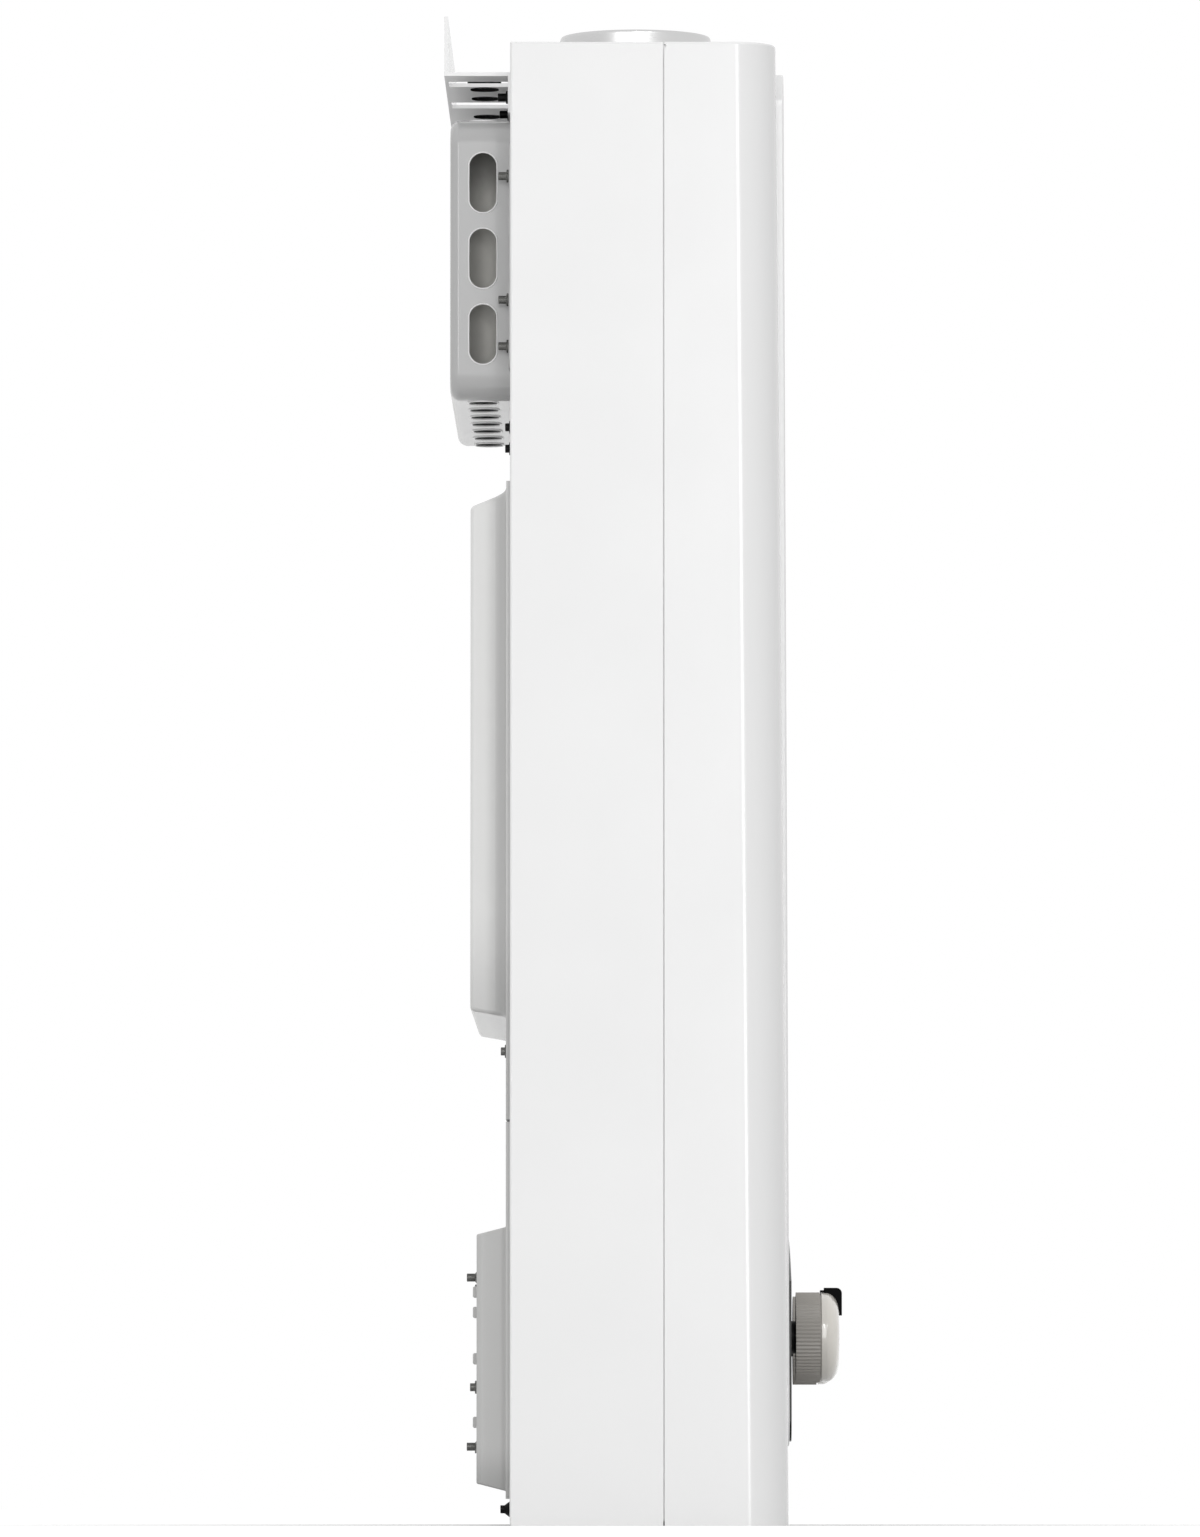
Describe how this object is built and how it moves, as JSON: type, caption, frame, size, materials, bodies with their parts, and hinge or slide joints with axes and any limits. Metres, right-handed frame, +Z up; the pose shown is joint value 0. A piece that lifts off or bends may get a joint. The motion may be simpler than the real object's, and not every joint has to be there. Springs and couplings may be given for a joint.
{
  "type": "tankless gas water heater",
  "caption": "Slim wall-hung tankless gas water heater with flue collar, rear air hood, wall bracket, turning control knobs and a working gas and water train inside.",
  "frame": {"origin": "middle of the whole object's width and depth, at the level of the case's lower rim", "axes": "+Z up along the height, -Y the front with the knobs, +X to the right of someone facing the front"},
  "size_m": [0.33, 0.1578, 0.6013],
  "materials": {
    "case_white": "smooth white powder coat",
    "panel_white": "glossy white",
    "control_black": "glossy black",
    "window": "smoked window",
    "rear_grey": "light grey paint",
    "flue_steel": "bright steel",
    "sheet_steel": "galvanised",
    "screw_steel": "zinc plated",
    "black_steel": "black oxide",
    "copper": "copper",
    "brass": "cast brass",
    "ceramic": "glazed ceramic",
    "rubber": "soft black",
    "grey_plastic": "matt grey",
    "dark_plastic": "matt black",
    "knob_grip": "fine fluted, satin",
    "knob_cap": "satin silver"
  },
  "bodies": {
    "case": {"rear_chassis": "case_white", "rear_panel": "rear_grey", "lower_rear_cover": "rear_grey", "air_hood": "rear_grey", "wall_bracket": "case_white", "front_cover": "case_white", "front_panel": "panel_white", "control_panel": "control_black", "display_window": "window", "bottom_plate": "sheet_steel", "flue_collar": "flue_steel", "fan_housing": "sheet_steel", "fan_motor": "black_steel", "exchanger_shell": "copper", "exchanger_fins": "copper", "exchanger_tubes": "copper", "water_coil": "copper", "burner_box": "sheet_steel", "burner_rack": "sheet_steel", "burner_blades": "sheet_steel", "gas_manifold": "sheet_steel", "gas_injectors": "brass", "ignition_electrodes": "ceramic", "flame_sensor": "ceramic", "gas_valve_body": "brass", "solenoid_coil": "dark_plastic", "gas_inlet_fitting": "brass", "gas_pipe": "sheet_steel", "water_valve_body": "brass", "diaphragm": "rubber", "diaphragm_cover": "brass", "cold_inlet_fitting": "brass", "inlet_filter": "screw_steel", "cold_pipe": "copper", "hot_outlet_fitting": "brass", "hot_pipe": "copper", "overheat_thermostat": "dark_plastic", "controller_box": "grey_plastic", "ignition_transformer": "dark_plastic", "microswitch": "dark_plastic", "air_pressure_switch": "grey_plastic", "cable_gland": "dark_plastic", "drain_plug": "brass", "hood_screws": "screw_steel", "bracket_screws": "black_steel", "rear_screws": "screw_steel", "case_screws": "screw_steel"},
    "gas_knob": {"gas_knob_grip": "knob_grip", "gas_knob_cap": "knob_cap", "gas_knob_pointer": "dark_plastic", "gas_spindle": "dark_plastic"},
    "water_knob": {"water_knob_grip": "knob_grip", "water_knob_cap": "knob_cap", "water_knob_pointer": "dark_plastic", "water_spindle": "dark_plastic"},
    "fan_rotor": {"fan_wheel": "sheet_steel", "fan_shaft": "screw_steel"},
    "rod": {"push_rod": "screw_steel"},
    "lever": {"microswitch_lever": "screw_steel"}
  },
  "joints": [
    {"name": "gas_knob_turn", "type": "hinge", "parent": "case", "child": "gas_knob", "pos_m": [-0.048, -0.0605, 0.0748], "axis": [0, -1, 0], "range_deg": [-135, 135]},
    {"name": "water_knob_turn", "type": "hinge", "parent": "case", "child": "water_knob", "pos_m": [0.048, -0.0605, 0.0748], "axis": [0, -1, 0], "range_deg": [-135, 135]},
    {"name": "fan_spin", "type": "hinge", "parent": "case", "child": "fan_rotor", "pos_m": [0, 0.00025, 0.512], "axis": [0, -1, 0], "continuous": true},
    {"name": "push_rod_slide", "type": "slide", "parent": "case", "child": "rod", "axis": [-1, 0, 0], "range_m": [0, 0.0035], "stiffness_N_per_m": 600, "springref_m": -0.002},
    {"name": "lever_turn", "type": "hinge", "parent": "case", "child": "lever", "pos_m": [-0.0068, 0.00025, 0.103], "axis": [0, 1, 0], "range_deg": [0, 12]}
  ],
  "couplings": [
    {"joint": "lever_turn", "follows": "push_rod_slide", "rad_per_m": 58.8}
  ]
}
